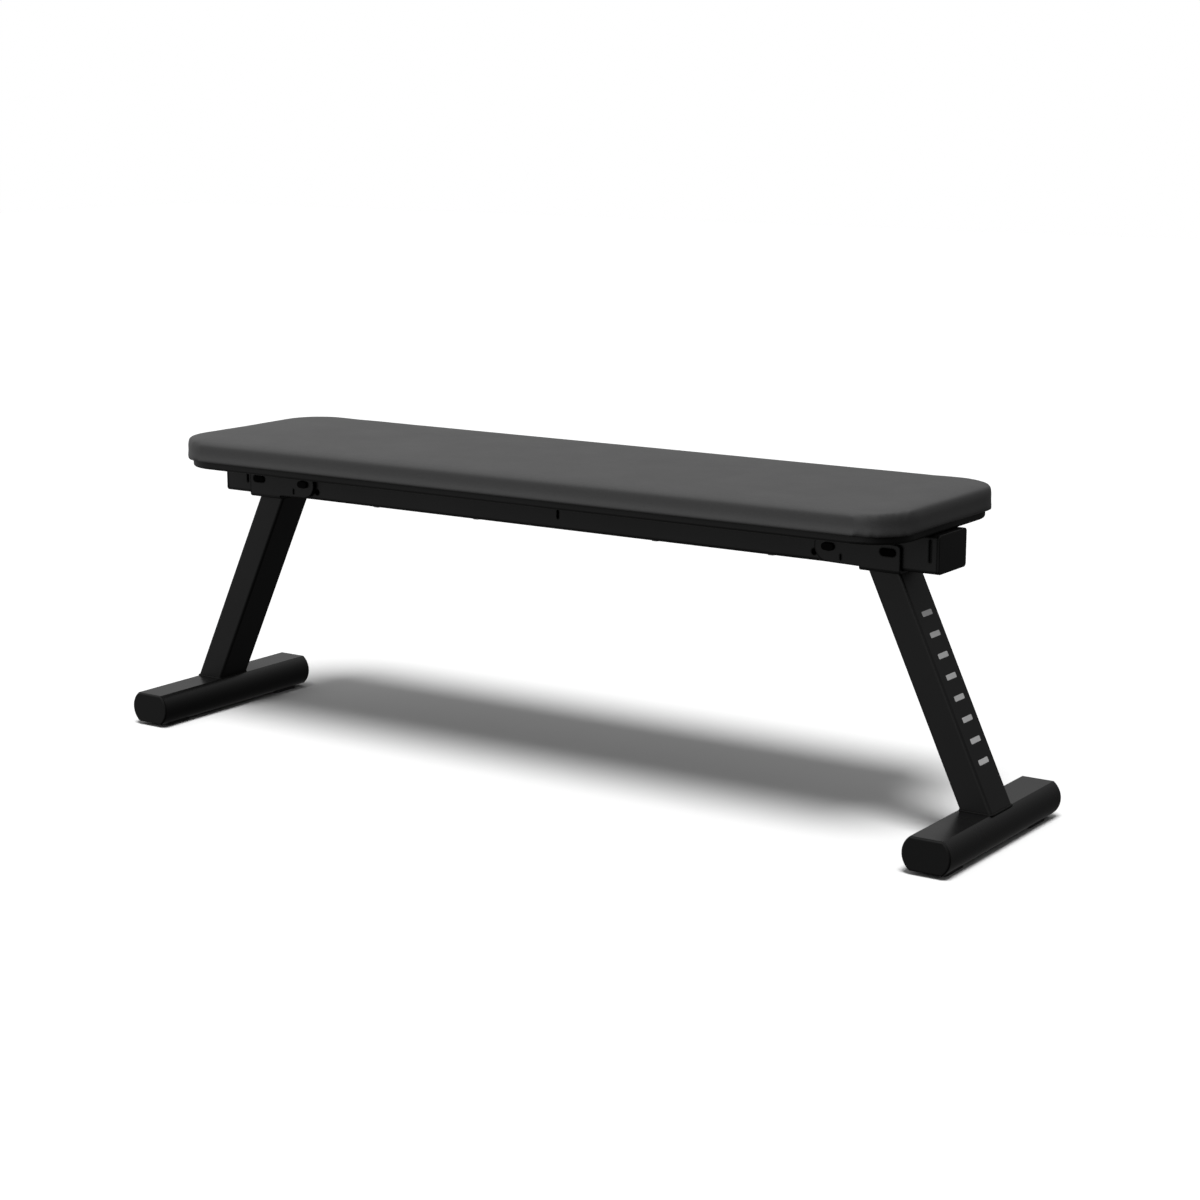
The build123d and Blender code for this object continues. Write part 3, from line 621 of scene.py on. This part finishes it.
# %% [markdown]
# ## Weld beads
# Each leg is welded under its bracket and onto its foot bar. A bead is a small half-round
# profile carried round the leg where it meets the plate, and its height ripples, because a
# weld is laid as overlapping puddles. The leg leans, so the level plate cuts it in a longer
# rectangle, and the bead follows that.

# %% Weld beads
LEG_AXIS_X = 573.1 * MM
LEG_AXIS_Z = 202.0 * MM
LEG_LEAN = radians(25.04)
LEG_DEPTH = 41.0 * MM
LEG_WIDTH = 60.0 * MM
LEG_CORNER = 4.0 * MM
BEAD_RADIUS = 1.6 * MM
PUDDLE_PITCH = 2.4 * MM
BEAD_STEPS = 12
RIPPLE = 0.12
BRACKET_WELD_Z = 342.0 * MM
FOOT_WELD_Z = 49.0 * MM


def bead_points(centre_x, height, upward, side):
    """A torus-like grid of points: a round profile carried round the leg's level section.

    The profile is a circle about the section's outline. Its radius at distance s along the
    outline is radius * (1 + ripple * |sin(pi * s / pitch)|).
    """
    outline = rounded_outline(LEG_DEPTH / cos(LEG_LEAN) / 2, LEG_WIDTH / 2, LEG_CORNER, 10)
    closed = np.vstack([outline, outline[:1]])
    along = np.concatenate([[0.0], np.cumsum(np.linalg.norm(np.diff(closed, axis=0), axis=1))])
    count = int(along[-1] / (PUDDLE_PITCH / 6))
    at = np.linspace(0.0, along[-1], count, endpoint=False)
    path = np.stack([np.interp(at, along, closed[:, k]) for k in (0, 1)], axis=1)
    step = np.roll(path, -1, axis=0) - np.roll(path, 1, axis=0)
    step /= np.linalg.norm(step, axis=1, keepdims=True)
    outward = np.stack([step[:, 1], -step[:, 0]], axis=1)
    radius = BEAD_RADIUS * (1 + RIPPLE * np.abs(np.sin(pi * at / PUDDLE_PITCH)))
    turn = np.linspace(0.0, 2 * pi, BEAD_STEPS, endpoint=False)
    across = radius[:, None] * np.cos(turn)
    up = radius[:, None] * np.sin(turn) * upward
    x = centre_x + side * (path[:, :1] + outward[:, :1] * across)
    y = path[:, 1:] + outward[:, 1:] * across
    z = height + up
    return np.stack([x, y, z], axis=-1).reshape(-1, 3), count


def leg_middle(height):
    """Where the leaning leg's axis crosses a height."""
    return LEG_AXIS_X + (LEG_AXIS_Z - height) * np.tan(LEG_LEAN)


def outward_first(points, faces):
    """The faces in the order that makes the closed piece's volume positive."""
    corners = points[np.array(faces)]
    normal = np.cross(corners[:, 1] - corners[:, 0], corners[:, 2] - corners[:, 0])
    volume = (corners.mean(axis=1) * normal).sum()
    return faces if volume > 0 else [face[::-1] for face in faces]


for side, body in ((1, "right_leg"), (-1, "left_leg")):
    for place_name, height, upward in (("top", BRACKET_WELD_Z, -1), ("foot", FOOT_WELD_Z, 1)):
        points, count = bead_points(side * leg_middle(height), height, upward, side)
        faces = outward_first(points, grid_faces(count, BEAD_STEPS, True).tolist())
        bead = make_piece(f"weld_{place_name}_{body}", points, faces, weld_metal)
        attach(bead, body)

# %% [markdown]
# ## Printed bars
# The outer face of one leg carries a row of plain pale bars, printed in silver ink. They
# are all alike and evenly spaced, and they stand for no letter or mark.

# %% Printed bars
BAR_COUNT = 8
BAR_LENGTH = 26.0 * MM
BAR_THICK = 7.0 * MM
BAR_CORNER = 1.5 * MM
BAR_PROUD = 0.25 * MM
BAR_SUNK = 0.3 * MM
BARS_FROM = 100.0 * MM
BARS_TO = 280.0 * MM

down_leg = np.array([sin(LEG_LEAN), 0.0, -cos(LEG_LEAN)])
out_of_leg = np.array([cos(LEG_LEAN), 0.0, sin(LEG_LEAN)])
sideways = np.array([0.0, 1.0, 0.0])
heights = np.linspace(BARS_TO, BARS_FROM, BAR_COUNT)
centres = np.column_stack([leg_middle(heights), np.zeros(BAR_COUNT), heights])
centres += out_of_leg * (LEG_DEPTH / 2)
outline = rounded_outline(BAR_LENGTH / 2, BAR_THICK / 2, BAR_CORNER, 5)
ring = outline[:, :1] * sideways + outline[:, 1:] * down_leg
size = len(ring)
points, faces = [], []
for centre in centres:
    first = len(points) * size
    points.append(centre + ring - out_of_leg * BAR_SUNK)
    points.append(centre + ring + out_of_leg * BAR_PROUD)
    faces += [[first + k, first + (k + 1) % size, first + size + (k + 1) % size,
               first + size + k] for k in range(size)]
    faces.append([first + k for k in reversed(range(size))])
    faces.append([first + size + k for k in range(size)])
bars = make_piece("printed_bars", np.concatenate(points), faces, silver_ink)
bars.data.polygons.foreach_set("use_smooth", np.zeros(len(bars.data.polygons), bool))
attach(bars, "right_leg")
print("printed bars:", BAR_COUNT)

# %% [markdown]
# ## Floor and light
# The bench stands on a plain pale floor. A high, slightly broad key light lays its shadow
# softly behind it. That key is linked to the floor alone, so the black parts are shaped only
# by the room, as large soft panels shape a dark product in a studio: one overhead, one high
# in front, one to the left and two faint ones behind. Black paint shows almost nothing but
# the panels it mirrors, so their places decide which faces look lighter. The side of the room
# that the near corners of the right leg face is kept dark, which darkens those corners. The
# camera itself sees plain white behind the bench.

# %% Floor
FLOOR_HALF = 12.0
FLOOR_GREY = 0.31
floor_material, tree, shader = new_material("floor", 0.0)
place = add_node(tree, "ShaderNodeTexCoord").outputs["Object"]
feed(tree, shader.inputs["Base Color"],
     mix_colour(tree, noise(tree, place, 1.5, 3.0), grey(FLOOR_GREY), grey(FLOOR_GREY * 0.99)))
shader.inputs["Roughness"].default_value = 1.0
corners = FLOOR_HALF * np.array([[-1, -1, 0], [1, -1, 0], [1, 1, 0], [-1, 1, 0]])
floor = make_piece("floor", corners, [[0, 1, 2, 3]], floor_material)
floor.visible_glossy = False
floor.visible_diffuse = False
print("floor side:", 2 * FLOOR_HALF, "m")

# %% Key light for the floor
KEY_FROM = Vector((0.22, -0.355, 1.0))
KEY_STRENGTH = 9.2
KEY_ANGLE = radians(23)
key = bpy.data.objects.new("key", bpy.data.lights.new("key", "SUN"))
key.data.energy = KEY_STRENGTH
key.data.angle = KEY_ANGLE
key.rotation_euler = KEY_FROM.to_track_quat("Z", "Y").to_euler()
bpy.context.scene.collection.objects.link(key)
floor_only = bpy.data.collections.new("floor_only")
floor_only.objects.link(floor)
key.light_linking.receiver_collection = floor_only
print("key strength:", KEY_STRENGTH)

# %% Soft panels of the room
# A panel's brightness at an angle a from its middle is strength * exp((cos(a) - 1) / width).
AMBIENT = 0.03
PANELS = (
    ((0.0, 0.0, 1.0), 0.30, 1.24),
    ((0.0, -0.8, 0.6), 0.25, 1.24),
    ((-1.0, 0.0, 0.1), 0.25, 0.40),
    ((-0.55, 0.81, 0.2), 0.20, 0.15),
    ((0.51, 0.81, 0.29), 0.20, 0.03),
)
DARK_SIDE = ((0.76, -0.64, -0.05), 0.20, -0.90)
world = bpy.data.worlds.new("studio")
bpy.context.scene.world = world
world.use_nodes = True
tree = world.node_tree
direction = add_node(tree, "ShaderNodeTexCoord").outputs["Generated"]


def lobe(middle, width, strength):
    """strength * exp((cosine of the angle from the middle - 1) / width), as a socket."""
    facing = add_node(tree, "ShaderNodeVectorMath", operation="DOT_PRODUCT")
    feed(tree, facing.inputs[0], direction)
    facing.inputs[1].default_value = Vector(middle).normalized()
    below = math_node(tree, "SUBTRACT", facing.outputs["Value"], 1.0)
    fall = math_node(tree, "EXPONENT", math_node(tree, "DIVIDE", below, width))
    return math_node(tree, "MULTIPLY", fall, strength)


room = AMBIENT
for panel in PANELS:
    room = math_node(tree, "ADD", lobe(*panel), room)
room = math_node(tree, "MULTIPLY", room, math_node(tree, "ADD", lobe(*DARK_SIDE), 1.0))
seen = add_node(tree, "ShaderNodeLightPath").outputs["Is Camera Ray"]
backdrop = tree.nodes["Background"]
feed(tree, backdrop.inputs["Color"], mix_colour(tree, seen, room, grey(1.0)))
bpy.context.scene.view_settings.view_transform = "Standard"
print("panels:", len(PANELS))
